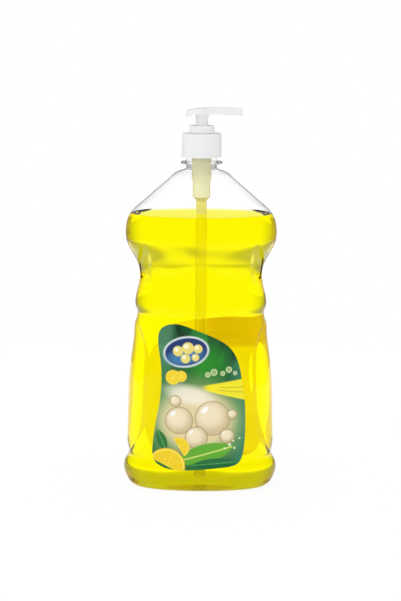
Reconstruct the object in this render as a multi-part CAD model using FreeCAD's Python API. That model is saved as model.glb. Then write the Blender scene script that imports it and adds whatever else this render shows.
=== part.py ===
import FreeCAD, Part
import math
import os

# Dish soap bottle with a lock-down lotion pump.
# Millimetres. Origin at the middle of the foot, +Z up, +X the way the nozzle points, -Y the front label.

os.makedirs("parts", exist_ok=True)
V = FreeCAD.Vector

# Bottle body: outer sections from the foot to the root of the neck
WALL = 0.7
BASE_WALL = 1.4
# height, half width, half depth, fullness of the oval (0.5523 is a true ellipse)
BODY_SECTIONS = [
    (0.0, 55.0, 28.5, 0.62),     # foot
    (2.0, 57.6, 31.6, 0.63),     # heel
    (6.5, 60.6, 35.0, 0.64),
    (15.0, 63.0, 38.2, 0.65),    # base flange
    (20.5, 62.0, 37.7, 0.66),
    (25.5, 59.4, 36.5, 0.66),    # pinch above the flange
    (31.0, 60.2, 36.8, 0.66),
    (45.0, 61.0, 37.5, 0.66),    # label panel
    (75.0, 60.2, 38.1, 0.66),
    (105.0, 58.1, 38.0, 0.66),
    (128.0, 55.2, 37.4, 0.66),
    (138.0, 53.8, 36.7, 0.66),
    (144.0, 51.6, 35.3, 0.66),   # groove over the label panel
    (148.5, 52.9, 35.8, 0.66),
    (154.0, 53.5, 36.1, 0.66),   # small bulge
    (161.0, 52.2, 35.7, 0.66),
    (173.5, 49.8, 35.3, 0.65),   # waist
    (182.0, 50.6, 35.8, 0.64),
    (193.0, 55.7, 37.0, 0.63),
    (202.0, 60.3, 38.0, 0.62),
    (212.0, 61.4, 38.4, 0.62),   # shoulder bulge
    (220.5, 60.0, 37.6, 0.62),
    (229.5, 54.3, 35.6, 0.61),
    (236.0, 46.6, 33.2, 0.60),
    (242.5, 39.4, 30.8, 0.585),
    (249.5, 31.2, 27.8, 0.565),
    (255.5, 24.6, 24.4, 0.5523),
    (258.2, 21.7, 21.7, 0.5523),  # edge of the flat cap under the neck
    (259.5, 19.0, 19.0, 0.5523),
    (260.4, 15.9, 15.9, 0.5523),
    (261.4, 13.4, 13.4, 0.5523),
    (263.0, 12.3, 12.3, 0.5523),
]
# Petal-shaped grip panels sunk into both sides
PANEL_LOW = 25.0
PANEL_HIGH = 143.0
PANEL_HALF_DEPTH = 29.5
PANEL_FULLNESS = 0.75
PANEL_SINK = 0.9
# Push-up under the base
PUNT_WIDTH = 47.0
PUNT_DEPTH = 21.0
PUNT_RISE = 6.0

# Neck finish
NECK_RADIUS = 12.4
NECK_WALL = 1.8
NECK_HEIGHT = 23.0
NECK_ROOT = 1.0
BORE_ROOT = 4.0
NECK_CHAMFER = 0.5
RING_REACH = 4.4
RING_RISE = 2.8
RING_THICK = 1.7
THREAD_PITCH = 4.233
THREAD_TURNS = 1.5
THREAD_DROP = 12.5
THREAD_HEIGHT = 1.2
THREAD_ROOT_WIDTH = 2.6
THREAD_CREST_WIDTH = 1.2
THREAD_SINK = 0.4
BODY_TOP = BODY_SECTIONS[-1][0]
BODY_REACH = 2 * max(section[1] for section in BODY_SECTIONS)
NECK_BORE = NECK_RADIUS - NECK_WALL
NECK_START = BODY_TOP - NECK_ROOT
NECK_TOP = BODY_TOP + NECK_HEIGHT

# Soap
FILL_LEVEL = 225.0
SOAP_GAP = 0.15

# Labels
LABEL_GAP = 0.08
LABEL_THICK = 0.14
LABEL_OUTLINE = [
    (-23.4, 139.5), (-6.1, 136.0), (13.2, 128.0), (24.1, 120.3), (30.0, 110.0), (33.3, 96.0),
    (35.9, 78.6), (36.7, 57.5), (35.3, 35.0), (31.8, 25.5), (19.3, 21.8), (-7.9, 19.6),
    (-29.4, 21.4), (-37.0, 26.0), (-38.6, 38.0), (-36.6, 55.0), (-33.4, 72.0), (-31.4, 92.0),
    (-32.0, 108.0), (-34.1, 123.8), (-31.8, 135.4),
]

# Gasket and the flange that the collar clamps
GASKET_THICK = 1.2
GASKET_LAP = 0.8
FLANGE_THICK = 1.5
FLANGE_LAP = 0.1
GASKET_RADIUS = NECK_RADIUS + GASKET_LAP
FLANGE_RADIUS = GASKET_RADIUS + FLANGE_LAP
FLANGE_LOW = NECK_TOP + GASKET_THICK
FLANGE_HIGH = FLANGE_LOW + FLANGE_THICK

# Screw collar
CLOSURE_THREAD_GAP = 0.5
CLOSURE_WALL = 1.7
CLOSURE_FLARE = 0.3
CLOSURE_HEIGHT = 19.1
CLOSURE_ROUND = 1.0
CLOSURE_PLATE = 1.6
CLOSURE_SEAT_GAP = 0.1
CLOSURE_HOLE_GAP = 0.5
CLOSURE_BORE = NECK_RADIUS + THREAD_HEIGHT + CLOSURE_THREAD_GAP
CLOSURE_RADIUS = CLOSURE_BORE + CLOSURE_WALL
CLOSURE_TOP = FLANGE_HIGH + CLOSURE_SEAT_GAP + CLOSURE_PLATE

# Pump housing: neck, working bore, spring bore, ball cage and tail
HOUSING_BORE = 6.3
HOUSING_WALL = 1.6
HOUSING_NECK_WALL = 1.9
HOUSING_NECK_HEIGHT = 5.3
SPRING_BORE_STEP = 0.9
SPRING_BORE_WALL = 1.65
SPRING_GUIDE = 8.4
CAGE_HEIGHT = 5.4
CAGE_TAPER = 2.6
BALL_LIP = 2.1
BALL_LIP_THICK = 0.9
TAIL_RADIUS = 3.1
TAIL_BORE = 1.6
TAIL_LENGTH = 9.0
HOUSING_NECK_RADIUS = HOUSING_BORE + HOUSING_NECK_WALL
HOUSING_NECK_TOP = FLANGE_HIGH + HOUSING_NECK_HEIGHT
SPRING_BORE = HOUSING_BORE - SPRING_BORE_STEP

# Lock ring
CHAPLET_WALL = 1.85
CHAPLET_PLATE = 2.3
CHAPLET_GAP = 0.3
CHAPLET_ROUND = 0.8
CHAPLET_SLEEVE = 10.0
CHAPLET_GUIDE = 5.0
CHAPLET_FIT = 0.15
CHAPLET_SKIRT_BORE = HOUSING_NECK_RADIUS + CHAPLET_FIT
CHAPLET_RADIUS = CHAPLET_SKIRT_BORE + CHAPLET_WALL
CHAPLET_PLATE_LOW = HOUSING_NECK_TOP + CHAPLET_GAP
CHAPLET_TOP = CHAPLET_PLATE_LOW + CHAPLET_PLATE
SLEEVE_LOW = HOUSING_NECK_TOP - CHAPLET_SLEEVE
GUIDE_TOP = SLEEVE_LOW + CHAPLET_GUIDE

# Piston group, with the head locked down
STROKE = 16.0
PISTON_STOP_GAP = 0.2
PISTON_FIT = 0.05
PISTON_LENGTH = 8.2
PISTON_WAIST = 1.3
PISTON_LIP = 1.6
SEAT_FLANGE = 1.0
SEAT_HEIGHT = 3.2
SEAT_WALL = 1.0
SEAT_LIP = 2.2
SEAT_LIP_THICK = 0.4
SHAFT_FIT = 0.05
STEM_RADIUS = 3.0
STEM_BORE = 1.4
PISTON_LOW = SLEEVE_LOW - PISTON_STOP_GAP - STROKE - PISTON_LENGTH
SEAT_LOW = PISTON_LOW - SEAT_HEIGHT

# Return spring
WIRE_RADIUS = 0.45
WIRE_SIDES = 8
SPRING_FIT = 0.75
SPRING_TURNS = 5.5
SPRING_REST = 12.4
SPRING_RADIUS = SPRING_BORE - SPRING_FIT - WIRE_RADIUS
SEAT_RADIUS = SPRING_BORE - SPRING_FIT + 0.25
SPRING_SEAT = SEAT_LOW - SPRING_REST
HOUSING_STEP = SPRING_SEAT + SPRING_GUIDE
HOUSING_LOW = SPRING_SEAT - CAGE_HEIGHT
TAIL_TOP = HOUSING_LOW - CAGE_TAPER

# Dip tube
TUBE_WALL = 1.1
TUBE_FIT = 0.1
TUBE_FOOT = 9.5
TUBE_CLEARANCE = 0.3
TUBE_BORE = TAIL_RADIUS + TUBE_FIT
TUBE_RADIUS = TUBE_BORE + TUBE_WALL

# Ball valves
INLET_BALL = 2.38
INLET_CAGE_GAP = 0.35
INLET_BALL_LIFT = 1.4
BALL_ROOM = 0.1
OUTLET_BALL = 2.0
OUTLET_CUP_GAP = 0.8
BALL_SEAT_GAP = 0.02

# Pump head: post, finger pad and nozzle
POST_GAP = 1.5
POST_WALL = 0.95
POST_FIT = 0.35
POST_FLARE = 0.9
POST_FLARE_HEIGHT = 2.2
CUP_DEPTH = 5.5
CUP_HEIGHT = 4.6
CUP_WALL = 1.2
SOCKET_FIT = 0.05
SOCKET_GAP = 0.3
RISER_BORE = 1.2
HEAD_GAP = 9.0
HEAD_RISE = 5.4
HEAD_BACK_DROP = 2.3
HEAD_CROWN = 2.4
HEAD_SKIRT_DROP = 1.8
HEAD_BACK = -12.7
HEAD_CREST = 5.0
HEAD_WALL = 1.5
HEAD_ROUND = 0.6
PAD_RADIUS = 9.4
PAD_ANGLE = 50
POCKET_FRONT = 11.0
NOZZLE_TIP = 33.1
NOZZLE_START = 17.0
NOZZLE_HALF_WIDTH = 4.3
NOZZLE_TIP_HALF_WIDTH = 3.7
NOZZLE_TOP_DROP = 0.9
NOZZLE_UNDER_DROP = 1.1
NOZZLE_NOSE = 1.2
NOZZLE_BORE = 1.7
NOZZLE_WALL = 1.2
CUP_BORE = OUTLET_BALL + OUTLET_CUP_GAP
CUP_RADIUS = CUP_BORE + CUP_WALL
POST_RADIUS = CUP_RADIUS + SOCKET_FIT + POST_WALL
POST_LOW = GUIDE_TOP + POST_GAP
CUP_LOW = POST_LOW + CUP_DEPTH
STEM_TOP = CUP_LOW + CUP_HEIGHT
HEAD_UNDER = CHAPLET_TOP + HEAD_GAP
HEAD_SKIRT = HEAD_UNDER - HEAD_SKIRT_DROP
HEAD_TOP = HEAD_UNDER + HEAD_RISE
HEAD_BACK_TOP = HEAD_TOP - HEAD_BACK_DROP
POCKET_TOP = HEAD_TOP - HEAD_CROWN
NOZZLE_TOP = HEAD_TOP - NOZZLE_TOP_DROP
NOZZLE_UNDER = HEAD_UNDER - NOZZLE_UNDER_DROP
NOZZLE_HEIGHT = (NOZZLE_TOP + NOZZLE_UNDER) / 2


def turned(points):
    """Solid of revolution about Z from a closed outline of radius and height pairs."""
    corners = [V(radius, 0, height) for radius, height in points]
    outline = Part.makePolygon(corners + corners[:1])
    return Part.Face(outline).revolve(V(0, 0, 0), V(0, 0, 1), 360)


def rod(radius, low, high):
    """Upright cylinder on the axis between two heights."""
    return Part.makeCylinder(radius, high - low, V(0, 0, low))


def oval(height, half_width, half_depth, fullness):
    """Level closed outline of four cubic curves that meet with no corner."""
    side = half_width * fullness
    front = half_depth * fullness
    quadrants = [
        [(half_width, 0), (half_width, front), (side, half_depth), (0, half_depth)],
        [(0, half_depth), (-side, half_depth), (-half_width, front), (-half_width, 0)],
        [(-half_width, 0), (-half_width, -front), (-side, -half_depth), (0, -half_depth)],
        [(0, -half_depth), (side, -half_depth), (half_width, -front), (half_width, 0)],
    ]
    edges = []
    for poles in quadrants:
        curve = Part.BezierCurve()
        curve.setPoles([V(x, y, height) for x, y in poles])
        edges.append(curve.toShape())
    return Part.Wire(edges)


def body_loft(inset, floor):
    """Body with no panels, moved inwards by inset square to its surface, its floor raised."""
    wires = []
    last = len(BODY_SECTIONS) - 1
    for index, (height, half_width, half_depth, fullness) in enumerate(BODY_SECTIONS):
        below = BODY_SECTIONS[max(index - 1, 0)]
        above = BODY_SECTIONS[min(index + 1, last)]
        rise = above[0] - below[0]
        spread = (above[1] + above[2] - below[1] - below[2]) / 2
        length = math.hypot(rise, spread)
        inward = inset * rise / length
        upward = inset * spread / length
        if index in (0, last):
            upward = 0.0
        level = height + upward
        if index == 0:
            level += floor
        wires.append(oval(level, half_width - inward, half_depth - inward, fullness))
    return Part.makeLoft(wires, True, False)


def panel_prism(growth):
    """Petal outline seen from the side, grown by a wall and run right through the body along X."""
    half_height = (PANEL_HIGH - PANEL_LOW) / 2
    petal = oval(0, half_height + growth, PANEL_HALF_DEPTH + growth, PANEL_FULLNESS)
    prism = Part.Face(petal).extrude(V(0, 0, 2 * BODY_REACH))
    prism.translate(V(0, 0, -BODY_REACH))
    prism.rotate(V(0, 0, 0), V(0, 1, 0), 90)
    prism.translate(V(0, 0, PANEL_LOW + half_height))
    return prism


def body_form(inset, floor=0.0):
    """Body with its sunk side panels, moved inwards by inset, its floor raised."""
    core = body_loft(inset + PANEL_SINK, floor)
    return body_loft(inset, floor).cut(panel_prism(inset).cut(core))


def punt(growth):
    """Push-up under the base, a flattened ball cut into the foot, grown by a wall."""
    scale = FreeCAD.Matrix()
    scale.scale(PUNT_WIDTH + growth, PUNT_DEPTH + growth, PUNT_RISE + growth)
    return Part.makeSphere(1).transformGeometry(scale)


def thread():
    """Screw ridge on the neck, wider at its root than at its crest."""
    root = NECK_RADIUS - THREAD_SINK
    crest = NECK_RADIUS + THREAD_HEIGHT
    height = THREAD_PITCH * THREAD_TURNS
    helix = Part.Wire(Part.makeHelix(THREAD_PITCH, height, root).Edges)
    corners = [
        V(root, 0, -THREAD_ROOT_WIDTH / 2),
        V(crest, 0, -THREAD_CREST_WIDTH / 2),
        V(crest, 0, THREAD_CREST_WIDTH / 2),
        V(root, 0, THREAD_ROOT_WIDTH / 2),
    ]
    profile = Part.makePolygon(corners + corners[:1])
    ridge = helix.makePipeShell([profile], True, True)
    ridge.translate(V(0, 0, NECK_TOP - THREAD_DROP))
    return ridge


def neck():
    """Solid neck with its support ring and thread, before the bore is cut."""
    ring_low = BODY_TOP + RING_RISE
    ring_high = ring_low + RING_THICK
    ring_edge = RING_THICK / 4
    ring_radius = NECK_RADIUS + RING_REACH
    barrel = turned([
        (0, NECK_START),
        (NECK_RADIUS, NECK_START),
        (NECK_RADIUS, ring_low),
        (ring_radius, ring_low + ring_edge),
        (ring_radius, ring_high - ring_edge),
        (NECK_RADIUS, ring_high),
        (NECK_RADIUS, NECK_TOP - NECK_CHAMFER),
        (NECK_RADIUS - NECK_CHAMFER, NECK_TOP),
        (0, NECK_TOP),
    ])
    return barrel.fuse(thread())


def bottle():
    """Blown bottle: body and neck as one skin round the hollow."""
    outside = body_form(0).fuse(neck()).cut(punt(0))
    hollow = body_form(WALL, BASE_WALL).fuse(rod(NECK_BORE, NECK_START - BORE_ROOT, NECK_TOP + 1))
    hollow = hollow.cut(punt(BASE_WALL))
    return outside.cut(hollow).removeSplitter()


def dish_liquid():
    """Soap up to the fill level, with a slot for the wall of the dip tube."""
    soap = body_form(WALL + SOAP_GAP, BASE_WALL).cut(punt(BASE_WALL + SOAP_GAP))
    above = rod(BODY_REACH, FILL_LEVEL, NECK_TOP)
    slot_low = TUBE_FOOT - TUBE_CLEARANCE
    slot = rod(TUBE_RADIUS + TUBE_CLEARANCE, slot_low, FILL_LEVEL + 1)
    slot = slot.cut(rod(TUBE_BORE - TUBE_CLEARANCE, slot_low - 1, FILL_LEVEL + 2))
    return soap.cut(above).cut(slot)


def label(side):
    """Film that follows the body inside its outline; side is -1 at the front and 1 at the back."""
    outline = Part.BSplineCurve()
    outline.interpolate(Points=[V(side * -x, 0, z) for x, z in LABEL_OUTLINE], PeriodicFlag=True)
    film = Part.Face(Part.Wire(outline.toShape())).extrude(V(0, side * BODY_REACH, 0))
    film = film.common(body_loft(-LABEL_GAP - LABEL_THICK, 0))
    return film.cut(body_loft(-LABEL_GAP, 0))


def closure():
    """Smooth screw collar, open below, with a hole for the housing neck."""
    plate_low = CLOSURE_TOP - CLOSURE_PLATE
    low = CLOSURE_TOP - CLOSURE_HEIGHT
    hole = HOUSING_NECK_RADIUS + CLOSURE_HOLE_GAP
    collar = turned([
        (hole, plate_low),
        (CLOSURE_BORE, plate_low),
        (CLOSURE_BORE, low),
        (CLOSURE_RADIUS + CLOSURE_FLARE, low),
        (CLOSURE_RADIUS, CLOSURE_TOP),
        (hole, CLOSURE_TOP),
    ])
    rim = [edge for edge in collar.Edges if is_circle(edge, CLOSURE_RADIUS, CLOSURE_TOP)]
    return collar.makeFillet(CLOSURE_ROUND, rim)


def is_circle(edge, radius, height):
    """True for a level circular edge of this radius at this height."""
    if not isinstance(edge.Curve, Part.Circle):
        return False
    centre = edge.Curve.Center
    return abs(edge.Curve.Radius - radius) < 0.01 and abs(centre.z - height) < 0.01


def chaplet():
    """Lock ring: outer skirt over the housing neck, inner sleeve and stem guide."""
    skirt_low = CLOSURE_TOP + CHAPLET_GAP
    sleeve = HOUSING_BORE - CHAPLET_FIT
    post_hole = POST_RADIUS + POST_FIT
    ring = turned([
        (CHAPLET_RADIUS, skirt_low),
        (CHAPLET_RADIUS, CHAPLET_TOP),
        (post_hole, CHAPLET_TOP),
        (post_hole, GUIDE_TOP),
        (STEM_RADIUS + SHAFT_FIT, GUIDE_TOP),
        (STEM_RADIUS + SHAFT_FIT, SLEEVE_LOW),
        (sleeve, SLEEVE_LOW),
        (sleeve, CHAPLET_PLATE_LOW),
        (CHAPLET_SKIRT_BORE, CHAPLET_PLATE_LOW),
        (CHAPLET_SKIRT_BORE, skirt_low),
    ])
    rim = [edge for edge in ring.Edges if is_circle(edge, CHAPLET_RADIUS, CHAPLET_TOP)]
    return ring.makeFillet(CHAPLET_ROUND, rim)


def gasket():
    """Soft ring between the neck and the housing flange."""
    bore = rod(NECK_BORE, NECK_TOP - 1, FLANGE_LOW + 1)
    return rod(GASKET_RADIUS, NECK_TOP, FLANGE_LOW).cut(bore)


def pump_housing():
    """Stepped cylinder with its flange, ball cage, ball seat and tail."""
    radius = HOUSING_BORE + HOUSING_WALL
    spring_radius = SPRING_BORE + SPRING_BORE_WALL
    foot = TAIL_TOP - TAIL_LENGTH
    outside = turned([
        (0, foot),
        (TAIL_RADIUS, foot),
        (TAIL_RADIUS, TAIL_TOP),
        (TUBE_RADIUS, TAIL_TOP),
        (spring_radius, HOUSING_LOW),
        (spring_radius, HOUSING_STEP),
        (radius, HOUSING_STEP),
        (radius, FLANGE_LOW),
        (FLANGE_RADIUS, FLANGE_LOW),
        (FLANGE_RADIUS, FLANGE_HIGH),
        (HOUSING_NECK_RADIUS, FLANGE_HIGH),
        (HOUSING_NECK_RADIUS, HOUSING_NECK_TOP),
        (0, HOUSING_NECK_TOP),
    ])
    cage = INLET_BALL + INLET_CAGE_GAP
    cage_top = SPRING_SEAT - BALL_LIP_THICK
    seat_edge = ball_seat_height()
    seat_foot = seat_edge - (cage - TAIL_BORE)
    inside = turned([
        (0, foot - 1),
        (TAIL_BORE, foot - 1),
        (TAIL_BORE, seat_foot),
        (cage, seat_edge),
        (cage, cage_top),
        (BALL_LIP, cage_top),
        (BALL_LIP, SPRING_SEAT),
        (SPRING_BORE, SPRING_SEAT),
        (SPRING_BORE, HOUSING_STEP),
        (HOUSING_BORE, HOUSING_STEP + SPRING_BORE_STEP),
        (HOUSING_BORE, HOUSING_NECK_TOP + 1),
        (0, HOUSING_NECK_TOP + 1),
    ])
    return outside.cut(inside)


def inlet_ball_centre():
    """Height of the inlet ball on its seat, so that its lift ends at the lip."""
    return SPRING_SEAT - BALL_LIP_THICK - BALL_ROOM - INLET_BALL_LIFT - INLET_BALL


def ball_seat_height():
    """Top edge of the 45 degree seat that the resting inlet ball touches."""
    cage = INLET_BALL + INLET_CAGE_GAP
    return inlet_ball_centre() - BALL_SEAT_GAP - INLET_BALL * math.sqrt(2) + cage


def dip_tube():
    """Straight tube pushed over the tail, cut off just above the base."""
    return rod(TUBE_RADIUS, TUBE_FOOT, TAIL_TOP).cut(rod(TUBE_BORE, TUBE_FOOT - 1, TAIL_TOP + 1))


def piston():
    """Soft piston with a wiping lip at each end."""
    high = PISTON_LOW + PISTON_LENGTH
    lip = HOUSING_BORE - PISTON_FIT
    waist = HOUSING_BORE - PISTON_WAIST
    bore = STEM_RADIUS + SHAFT_FIT
    return turned([
        (bore, PISTON_LOW),
        (lip, PISTON_LOW),
        (lip, PISTON_LOW + PISTON_LIP / 2),
        (waist, PISTON_LOW + PISTON_LIP),
        (waist, high - PISTON_LIP),
        (lip, high - PISTON_LIP / 2),
        (lip, high),
        (bore, high),
    ])


def piston_seat():
    """Collar under the piston that carries it and takes the spring."""
    bore = STEM_RADIUS + SHAFT_FIT
    return turned([
        (SEAT_LIP, SEAT_LOW),
        (SEAT_RADIUS, SEAT_LOW),
        (SEAT_RADIUS, SEAT_LOW + SEAT_FLANGE),
        (bore + SEAT_WALL, SEAT_LOW + SEAT_FLANGE),
        (bore + SEAT_WALL, PISTON_LOW),
        (bore, PISTON_LOW),
        (bore, SEAT_LOW + SEAT_LIP_THICK),
        (SEAT_LIP, SEAT_LOW + SEAT_LIP_THICK),
    ])


def stem():
    """Hollow shaft with a cup at its top for the outlet ball."""
    low = SEAT_LOW + SEAT_LIP_THICK
    return turned([
        (STEM_BORE, low),
        (STEM_RADIUS, low),
        (STEM_RADIUS, CUP_LOW),
        (CUP_RADIUS, CUP_LOW),
        (CUP_RADIUS, STEM_TOP),
        (CUP_BORE, STEM_TOP),
        (CUP_BORE, CUP_LOW + CUP_WALL),
        (STEM_BORE, CUP_LOW + CUP_WALL - (CUP_BORE - STEM_BORE)),
    ])


def outlet_ball_centre():
    """Height of the outlet ball on the 45 degree seat in the stem's cup."""
    apex = CUP_LOW + CUP_WALL - CUP_BORE
    return apex + OUTLET_BALL * math.sqrt(2) + BALL_SEAT_GAP


def ball(radius, height):
    """Valve ball on the axis."""
    return Part.makeSphere(radius, V(0, 0, height))


def return_spring():
    """Round wire coil from the spring seat to the piston seat."""
    low = SPRING_SEAT + WIRE_RADIUS
    high = SEAT_LOW - WIRE_RADIUS
    pitch = (high - low) / SPRING_TURNS
    helix = Part.Wire(Part.makeHelix(pitch, high - low, SPRING_RADIUS).Edges)
    corners = []
    for index in range(WIRE_SIDES + 1):
        turn = 2 * math.pi * index / WIRE_SIDES
        corners.append(V(SPRING_RADIUS + WIRE_RADIUS * math.cos(turn), 0, WIRE_RADIUS * math.sin(turn)))
    coil = helix.makePipeShell([Part.makePolygon(corners)], True, True)
    coil.translate(V(0, 0, low))
    return coil


def bend(start, start_way, end, end_way, reach):
    """Curve that leaves one point along its way and arrives at another along its own."""
    curve = Part.BezierCurve()
    curve.setPoles([start, start + start_way * reach, end - end_way * reach, end])
    return curve.toShape()


def head_plan(inset, low, high):
    """Plan of the head as an upright block: round pad behind, narrowing to the nozzle."""
    radius = PAD_RADIUS - inset
    centre = HEAD_BACK + PAD_RADIUS
    angle = math.radians(PAD_ANGLE)
    tip = NOZZLE_TIP - inset
    shoulder = V(centre + radius * math.cos(angle), radius * math.sin(angle), low)
    leave = V(math.sin(angle), -math.cos(angle), 0)
    start = V(NOZZLE_START, NOZZLE_HALF_WIDTH - inset, low)
    end = V(tip - NOZZLE_NOSE, NOZZLE_TIP_HALF_WIDTH - inset, low)
    straight = (end - start).normalize()
    reach = (NOZZLE_START - shoulder.x) / 3
    half = [
        bend(shoulder, leave, start, straight, reach),
        Part.makeLine(start, end),
    ]
    mirrored = [edge.mirror(V(0, 0, 0), V(0, 1, 0)) for edge in half]
    back = Part.Arc(shoulder, V(HEAD_BACK + inset, 0, low), V(shoulder.x, -shoulder.y, low)).toShape()
    nose = Part.Arc(end, V(tip, 0, low), V(end.x, -end.y, low)).toShape()
    outline = Part.Wire(Part.__sortEdges__(half + mirrored + [back, nose]))
    return Part.Face(outline).extrude(V(0, 0, high - low))


def head_side():
    """Side outline of the head as a block wider than the pad: bowed top and turned-down back."""
    back_top = V(HEAD_BACK, 0, HEAD_BACK_TOP)
    nozzle_top = V(NOZZLE_TIP - HEAD_ROUND, 0, NOZZLE_TOP)
    nozzle_under = V(NOZZLE_TIP - HEAD_ROUND, 0, NOZZLE_UNDER)
    under_back = V(HEAD_BACK + HEAD_WALL * 3, 0, HEAD_UNDER)
    skirt_front = V(HEAD_BACK + HEAD_WALL * 2.5, 0, HEAD_SKIRT)
    skirt_back = V(HEAD_BACK, 0, HEAD_SKIRT)
    outline = Part.Wire([
        Part.Arc(back_top, V(HEAD_CREST, 0, HEAD_TOP), nozzle_top).toShape(),
        Part.Arc(nozzle_top, V(NOZZLE_TIP, 0, NOZZLE_HEIGHT), nozzle_under).toShape(),
        Part.Arc(nozzle_under, V(NOZZLE_START, 0, HEAD_UNDER), under_back).toShape(),
        Part.makeLine(under_back, skirt_front),
        Part.makeLine(skirt_front, skirt_back),
        Part.makeLine(skirt_back, back_top),
    ])
    block = Part.Face(outline).extrude(V(0, 4 * PAD_RADIUS, 0))
    block.translate(V(0, -2 * PAD_RADIUS, 0))
    return block


def actuator():
    """Pump head: bowed finger pad that narrows to the nozzle, hollow below, on its post."""
    shell = head_side().common(head_plan(0, HEAD_SKIRT - 1, HEAD_TOP + 1))
    top_edges = [edge for edge in shell.Edges if edge.BoundBox.ZMin > HEAD_BACK_TOP - 0.5]
    shell = shell.makeFillet(HEAD_ROUND, top_edges)
    front = Part.makeBox(NOZZLE_TIP, 4 * PAD_RADIUS, HEAD_TOP, V(POCKET_FRONT, -2 * PAD_RADIUS, 0))
    pocket = head_plan(HEAD_WALL, HEAD_SKIRT - 2, POCKET_TOP).cut(front)
    post = turned([
        (0, POST_LOW),
        (POST_RADIUS, POST_LOW),
        (POST_RADIUS, HEAD_UNDER - POST_FLARE_HEIGHT),
        (POST_RADIUS + POST_FLARE, HEAD_UNDER),
        (POST_RADIUS + POST_FLARE, POCKET_TOP + HEAD_WALL / 2),
        (0, POCKET_TOP + HEAD_WALL / 2),
    ])
    channel_length = POCKET_FRONT + HEAD_WALL
    channel = Part.makeCylinder(
        NOZZLE_BORE + NOZZLE_WALL, channel_length, V(0, 0, NOZZLE_HEIGHT), V(1, 0, 0)
    )
    head = shell.cut(pocket).fuse([post, channel.common(head_side())])
    cup_top = STEM_TOP + SOCKET_GAP
    head = head.cut(rod(CUP_RADIUS + SOCKET_FIT, POST_LOW - 1, cup_top))
    head = head.cut(rod(RISER_BORE, cup_top - 1, NOZZLE_HEIGHT))
    outlet = Part.makeCylinder(NOZZLE_BORE, NOZZLE_TIP + 1, V(0, 0, NOZZLE_HEIGHT), V(1, 0, 0))
    return head.cut(outlet).removeSplitter()


NODES = {
    "bottle": bottle,
    "dish_liquid": dish_liquid,
    "front_label": lambda: label(-1),
    "back_label": lambda: label(1),
    "gasket": gasket,
    "pump_housing": pump_housing,
    "dip_tube": dip_tube,
    "chaplet": chaplet,
    "closure": closure,
    "return_spring": return_spring,
    "piston": piston,
    "piston_seat": piston_seat,
    "stem": stem,
    "actuator": actuator,
    "inlet_ball": lambda: ball(INLET_BALL, inlet_ball_centre()),
    "outlet_ball": lambda: ball(OUTLET_BALL, outlet_ball_centre()),
}

for name, build in NODES.items():
    shape = build()
    shape.exportStep("parts/" + name + ".step")
    print(name, len(shape.Solids), shape.isValid(), round(shape.Volume, 1))
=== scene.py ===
import math

import bpy
import numpy as np
from mathutils import Matrix


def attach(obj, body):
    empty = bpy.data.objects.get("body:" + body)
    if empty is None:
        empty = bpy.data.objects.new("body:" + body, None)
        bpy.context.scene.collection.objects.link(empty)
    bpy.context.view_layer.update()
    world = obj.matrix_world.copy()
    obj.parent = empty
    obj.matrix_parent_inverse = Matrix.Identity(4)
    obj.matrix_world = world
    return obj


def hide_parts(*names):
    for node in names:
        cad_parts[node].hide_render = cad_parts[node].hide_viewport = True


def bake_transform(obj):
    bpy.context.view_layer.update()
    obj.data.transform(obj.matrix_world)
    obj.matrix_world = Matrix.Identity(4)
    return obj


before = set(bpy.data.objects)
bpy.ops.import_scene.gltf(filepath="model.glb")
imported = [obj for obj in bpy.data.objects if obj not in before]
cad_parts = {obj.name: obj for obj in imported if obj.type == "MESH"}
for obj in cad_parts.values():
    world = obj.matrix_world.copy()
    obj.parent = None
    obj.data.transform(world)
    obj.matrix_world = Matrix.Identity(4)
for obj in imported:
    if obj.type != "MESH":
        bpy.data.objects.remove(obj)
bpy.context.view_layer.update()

# Sizes are millimetres, apart from those of the shading, the table and the camera, which are metres
MM = 0.001

# Fullness of an oval that is a circle
ROUND = 0.5523

# Bottle: height, half width, half depth and fullness of each oval section
SECTIONS = np.array([
    (0.0, 55.0, 28.5, 0.62), (2.0, 57.6, 31.6, 0.63), (6.5, 60.6, 35.0, 0.64),
    (15.0, 63.0, 38.2, 0.65), (20.5, 62.0, 37.7, 0.66), (25.5, 59.4, 36.5, 0.66),
    (31.0, 60.2, 36.8, 0.66), (45.0, 61.0, 37.5, 0.66), (75.0, 60.2, 38.1, 0.66),
    (105.0, 58.1, 38.0, 0.66), (128.0, 55.2, 37.4, 0.66), (138.0, 53.8, 36.7, 0.66),
    (144.0, 51.6, 35.3, 0.66), (148.5, 52.9, 35.8, 0.66), (154.0, 53.5, 36.1, 0.66),
    (161.0, 52.2, 35.7, 0.66), (173.5, 49.8, 35.3, 0.65), (182.0, 50.6, 35.8, 0.64),
    (193.0, 55.7, 37.0, 0.63), (202.0, 60.3, 38.0, 0.62), (212.0, 61.4, 38.4, 0.62),
    (220.5, 60.0, 37.6, 0.62), (229.5, 54.3, 35.6, 0.61), (236.0, 46.6, 33.2, 0.60),
    (242.5, 39.4, 30.8, 0.585), (249.5, 31.2, 27.8, 0.565), (255.5, 24.6, 24.4, 0.5523),
    (258.2, 21.7, 21.7, 0.5523), (259.5, 19.0, 19.0, 0.5523), (260.4, 15.9, 15.9, 0.5523),
    (261.4, 13.4, 13.4, 0.5523), (263.0, 12.3, 12.3, 0.5523),
])
WALL = 0.7
BASE_WALL = 1.4
END_BLEND = 2.0
PANEL_MIDDLE = 84.0
PANEL_HALF_HEIGHT = 59.0
PANEL_HALF_DEPTH = 29.5
PANEL_POWER = 2.8
PANEL_SINK = 0.9
PANEL_EDGE = 0.07
PUNT_WIDTH = 47.0
PUNT_DEPTH = 21.0
PUNT_RISE = 6.0

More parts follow.
